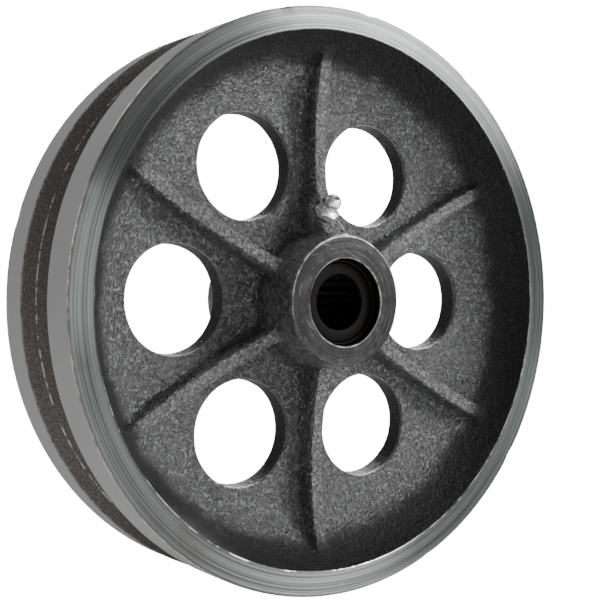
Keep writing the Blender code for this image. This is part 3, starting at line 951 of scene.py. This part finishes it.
def rim_face_finish():
    """The rim's side faces, turned bright in the lathe and since gone a little dull."""
    f = Finish("turned_rim_face")
    radius = f.radius()
    rings = f.streaks(radius, 900.0, 0.45, 2.0, 0.6)
    bands = f.streaks(radius, 160.0, 1.0, 3.0, 0.7)
    feed = f.math("SINE", f.plus(f.times(radius, 2.0 * math.pi / (1.05 * MM)),
                                 f.times(bands, 9.0)))
    bands = f.plus(f.ramp(bands, 0.30, 0.66, 0.0, 0.7), f.ramp(feed, -0.4, 0.6, 0.0, 0.3))
    stain = f.noise(16.0, 4.0, 0.6)
    colour = f.mix(bands, (0.040, 0.044, 0.042, 1.0), (0.155, 0.163, 0.159, 1.0))
    colour = f.mix(f.ramp(stain, 0.52, 0.75, 0.0, 0.35), colour, grey(0.06, 0.12))
    scrape = f.ramp(f.noise(1.2, 4.0, 0.7), 0.62, 0.70)
    inner = f.ramp(f.math("SUBTRACT", radius, f.times(f.noise(2.6, 4.0, 0.7), 1.0 * MM)),
                   92.75 * MM, 92.45 * MM)
    inner = f.times(inner, f.ramp(f.noise(12.0, 4.0, 0.7), 0.46, 0.54))
    outer = f.ramp(f.plus(radius, f.times(f.noise(2.2, 4.0, 0.75), 1.1 * MM)),
                   101.85 * MM, 102.0 * MM)
    colour = f.mix(f.times(scrape, 0.25), colour, grey(0.30))
    colour = f.mix(inner, colour, grey(0.55, 0.01))
    colour = f.mix(outer, colour, f.mix(stain, grey(0.03, 0.25), grey(0.60, 0.08)))
    rough = f.between(f.noise(7.0, 4.0, 0.6), 0.30, 0.40)
    normal = f.bumps((rings, 0.012), (f.noise(0.5, 2.0), 0.004))
    return f.finish(colour, rough, normal, Metallic=1.0, **f.lathe_marks(1.0))


def tread_finish():
    """The treads: machined, then blasted to an even matt grey."""
    f = Finish("blasted_tread")
    grain = f.noise(0.45, 3.0, 0.6)
    cloud = f.noise(12.0, 4.0, 0.6)
    colour = f.mix(grain, grey(0.15), grey(0.27))
    colour = f.mix(f.times(cloud, 0.35), colour, grey(0.17, 0.04))
    off_middle = f.math("ABSOLUTE", f.math("SUBTRACT", f.y, GROOVE_Y))
    lip = f.ramp(f.plus(off_middle, f.times(f.noise(2.4, 3.0, 0.7), 0.6 * MM)),
                 11.6 * MM, 11.1 * MM)
    colour = f.mix(f.times(lip, 0.75), colour, (0.11, 0.030, 0.022, 1.0))
    chips = f.ramp(f.noise(2.1, 4.0, 0.65), 0.68, 0.74)
    colour = f.mix(f.times(chips, 0.5), colour, grey(0.50))
    normal = f.bumps((grain, 0.03), (f.noise(2.2, 2.0), 0.03))
    return f.finish(colour, f.between(grain, 0.62, 0.78), normal, Metallic=0.25)


def groove_finish():
    """The groove, dark with old grease and rust, with a painted highlight in broken bright lines
    round its walls.
    """
    f = Finish("worn_groove")
    radius = f.radius()
    streak = f.streaks(radius, 30.0, 0.5, 4.0, 0.65)
    rust = f.ramp(f.noise(1.1, 3.0, 0.7), 0.52, 0.66)
    soot = f.noise(0.7, 3.0, 0.7)
    colour = f.mix(streak, grey(0.014, 0.10), grey(0.045, 0.06))
    colour = f.mix(f.ramp(soot, 0.46, 0.62), colour, grey(0.075, 0.10))
    colour = f.mix(f.times(rust, 0.45), colour, (0.085, 0.032, 0.018, 1.0))
    # Painted highlight: a broken bright line round both walls at one radius
    off_line = f.math("ABSOLUTE", f.math("SUBTRACT", radius, 97.8 * MM))
    painted_highlight_line = f.ramp(off_line, 0.0, 0.30 * MM, 1.0, 0.0)
    painted_highlight_line = f.times(painted_highlight_line, f.ramp(f.streaks(f.y, 5.0, 8.0, 4.0, 0.75), 0.46, 0.56))
    lip = f.times(f.ramp(radius, 101.0 * MM, 101.5 * MM),
                  f.ramp(f.noise(3.0, 3.0, 0.7), 0.42, 0.52))
    bright_marks = f.math("MAXIMUM", f.times(painted_highlight_line, 0.8), f.times(lip, 0.25))
    colour = f.mix(bright_marks, colour, grey(0.42))
    normal = f.bumps((streak, 0.05), (soot, 0.10))
    rough = f.between(bright_marks, f.between(streak, 0.48, 0.68), 0.35)
    return f.finish(colour, rough, normal, Metallic=f.plus(0.2, f.times(bright_marks, 0.7)))


def hub_face_finish():
    """The faced ends of the hub, dark with circular tool marks and a rubbed outer edge."""
    f = Finish("faced_hub")
    radius = f.radius()
    marks = f.streaks(radius, 120.0, 0.35, 3.0, 0.6)
    colour = f.mix(f.ramp(marks, 0.35, 0.65), grey(0.009), grey(0.034, 0.01))
    colour = f.mix(f.ramp(f.noise(5.0, 4.0, 0.7), 0.42, 0.60, 0.0, 0.8), colour, grey(0.012))
    scored = f.streaks(f.plus(f.times(f.x, 0.4), radius), 26.0, 0.9, 2.0, 0.5)
    colour = f.mix(f.ramp(scored, 0.62, 0.68, 0.0, 0.4), colour, grey(0.09, 0.02))
    ragged = f.times(f.noise(1.6, 4.0, 0.7), 0.9 * MM)
    edge = f.math("MAXIMUM", f.ramp(f.plus(radius, ragged), 22.75 * MM, 23.1 * MM),
                  f.ramp(f.math("SUBTRACT", radius, ragged), 15.25 * MM, 14.95 * MM))
    edge = f.times(edge, f.ramp(f.noise(4.0, 4.0, 0.7), 0.40, 0.60, 0.25, 0.9))
    colour = f.mix(edge, colour, grey(0.30, 0.03))
    return f.finish(colour, f.between(marks, 0.36, 0.50), f.bumps((marks, 0.02)), Metallic=0.85,
                    **f.lathe_marks(0.2))


def shaded_steel_finish(name, dark, light, rough, depth):
    """Greased bearing steel painted very dark, with almost no reflection, as painted shade inside the
    bore; a trace of the tool marks shows under the grease.
    """
    f = Finish(name)
    marks = f.streaks(f.y, 60.0, 0.5, 3.0, 0.6)
    smear = f.noise(4.0, 3.0, 0.6)
    colour = f.mix(marks, grey(dark, 0.05), grey(light, 0.02))
    colour = f.mix(f.ramp(smear, 0.35, 0.60, 0.3, 0.9), colour, (0.004, 0.003, 0.0025, 1.0))
    normal = f.bumps((marks, depth), (smear, 0.06))
    return f.finish(colour, f.between(smear, rough, rough + 0.16), normal, Metallic=0.1,
                    Specular_IOR_Level=0.05)


def zinc_finish():
    """Bright zinc plate on the fitting, with fine turning marks and a little dirt."""
    f = Finish("zinc_plate")
    haze = f.noise(1.2, 3.0, 0.6)
    marks = f.noise(0.35, 2.0, 0.5)
    colour = f.mix(haze, grey(0.62, 0.015), grey(0.82, 0.01))
    dirt = f.ramp(f.noise(2.2, 4.0, 0.7), 0.58, 0.70)
    colour = f.mix(f.times(dirt, 0.45), colour, grey(0.24, 0.08))
    normal = f.bumps((marks, 0.010))
    rough = f.between(haze, 0.30, 0.44)
    return f.finish(colour, f.between(f.times(dirt, 0.5), rough, 0.45), normal, Metallic=1.0)


# ---- the pieces
# Painted shade: the bore's wall and the bearing inside the bore are painted very dark
bore_steel = shaded_steel_finish("bored_iron", 0.003, 0.008, 0.50, 0.02)
cage_steel = shaded_steel_finish("cage_steel", 0.0015, 0.005, 0.50, 0.01)
sleeve_steel = shaded_steel_finish("sleeve_steel", 0.002, 0.006, 0.45, 0.01)
ground_steel = shaded_steel_finish("ground_roller", 0.003, 0.009, 0.38, 0.004)
zinc = zinc_finish()

CAST_FINISHES = [enamel_finish(), rim_face_finish(), tread_finish(), groove_finish(),
                 hub_face_finish(), bore_steel]


def add_piece(piece, node, body, finish=None):
    if finish is not None:
        piece.data.materials.clear()
        piece.data.materials.append(finish)
    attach(piece, body)
    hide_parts(node)


points, faces, marks = casting_mesh()
casting = mesh_object("wheel_casting_fine", points, faces, marks, CAST_FINISHES)
THREAD_HOLE = [(0.0, 2.0 * MM), (3.2 * MM, 2.0 * MM), (3.2 * MM, -7.0 * MM),
               (1.5 * MM, -7.9 * MM), (1.5 * MM, -24.0 * MM), (0.0, -24.0 * MM)]
carve(casting, [turned("thread_hole", THREAD_HOLE, 32, ALONG_FITTING)])
add_piece(casting, "wheel_casting", "wheel")
add_piece(make_sleeve(), "bearing_sleeve", "wheel", sleeve_steel)
add_piece(make_fitting(), "grease_fitting", "wheel", zinc)
spring = make_spring()
add_piece(spring, "check_spring", "wheel", ground_steel)
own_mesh(spring)
add_piece(make_ball(), "check_ball", "check_ball", zinc)
add_piece(make_cage(), "roller_cage", "cage", cage_steel)
for index in range(ROLLERS):
    name = "roller_%d" % (index + 1)
    add_piece(make_roller(index), name, name, ground_steel)


# ---- studio
FLOOR_Z = -RIM_R
WHITE = 18.0                       # radiance that renders as white
FLOOR_GLOW = 16.0


def make_floor():
    """A plain pale floor under the wheel. It looks white, and throws little light back up."""
    bm = bmesh.new()
    centre = bm.verts.new((0.0, 0.0, FLOOR_Z))
    turns = np.linspace(0.0, 2.0 * math.pi, 48, endpoint=False)
    rings = [[bm.verts.new((reach * math.cos(t), reach * math.sin(t), FLOOR_Z)) for t in turns]
             for reach in (0.5, 2.0, 8.0, 30.0)]
    for column in range(48):
        beside = (column + 1) % 48
        bm.faces.new((centre, rings[0][column], rings[0][beside]))
        for inner, outer in zip(rings, rings[1:]):
            bm.faces.new((inner[column], outer[column], outer[beside], inner[beside]))
    floor = add_bmesh("studio_floor", bm)
    f = Finish("pale_paper")
    colour = f.mix(f.noise(60.0, 3.0, 0.5), grey(0.80), grey(0.84))
    glow = f.times(f.add("LightPath"), FLOOR_GLOW)
    floor.data.materials.append(f.finish(colour, 0.85, f.bumps((f.noise(2.0, 2.0), 0.01)),
                                         Emission_Color=grey(1.0), Emission_Strength=glow))


def area_light(name, position, width, height, radiance, target=(0.0, 0.0, 0.0)):
    """A softbox that faces target, as bright as radiance whatever its size."""
    light = bpy.data.lights.new(name, "AREA")
    light.shape = "RECTANGLE"
    light.size = width
    light.size_y = height
    light.energy = radiance * math.pi * width * height
    lamp = add_object(name, light)
    lamp.location = position
    lamp.rotation_euler = (Vector(target) - Vector(position)).to_track_quat("-Z", "Y").to_euler()
    lamp.visible_camera = False


def make_world():
    """White behind the wheel, and a room that is bright above and dark near the horizon."""
    world = bpy.data.worlds.new("studio")
    world.use_nodes = True
    n = Nodes(world.node_tree)
    up = n.parts(n.add("TexCoord", output="Generated"))[2]
    room = n.add("Background", {0: grey(1.0), 1: n.ramp(up, 0.05, 0.85, 0.04, 0.45)})
    white = n.add("Background", {0: grey(1.0), 1: WHITE})
    shown = n.add("MixShader", {0: n.add("LightPath"), 1: room, 2: white})
    n.link(n.tree.nodes["World Output"].inputs[0], shown)
    bpy.context.scene.world = world


def make_camera():
    """The eye stands left of the wheel's axle, a little over its own height above the floor."""
    azimuth, elevation, roll = math.radians(35.23), math.radians(0.57), math.radians(0.70)
    distance = 409.64 * MM
    data = bpy.data.cameras.new("camera")
    data.sensor_width = 36.0
    data.lens = 67.4
    data.clip_start = 0.01
    data.shift_y = 0.00195
    camera = add_object("camera", data)
    away = Vector((-math.sin(azimuth) * math.cos(elevation),
                   -math.cos(azimuth) * math.cos(elevation), math.sin(elevation)))
    facing = (-away).to_track_quat("-Z", "Y").to_matrix().to_4x4()
    camera.matrix_world = (Matrix.Translation(away * distance) @ facing
                           @ Matrix.Rotation(roll, 4, "Z"))
    bpy.context.scene.camera = camera


make_floor()
make_world()
make_camera()
area_light("softbox_key", (0.74, -0.74, 0.49), 0.50, 0.58, 27.0)
area_light("fill_left", (-1.1, 0.32, 0.30), 0.7, 0.7, 3.0)
area_light("card_front", (-0.02, -1.1, 0.02), 0.22, 0.5, 17.0)
area_light("floor_bounce", (0.35, -0.52, FLOOR_Z + 2.0 * MM), 1.0, 1.0, 0.7, (0.35, -0.52, 1.0))
area_light("softbox_back", (0.70, 0.80, 0.49), 0.50, 0.58, 18.0)
area_light("fill_back", (-0.40, 0.75, 0.90), 0.5, 0.5, 5.0)
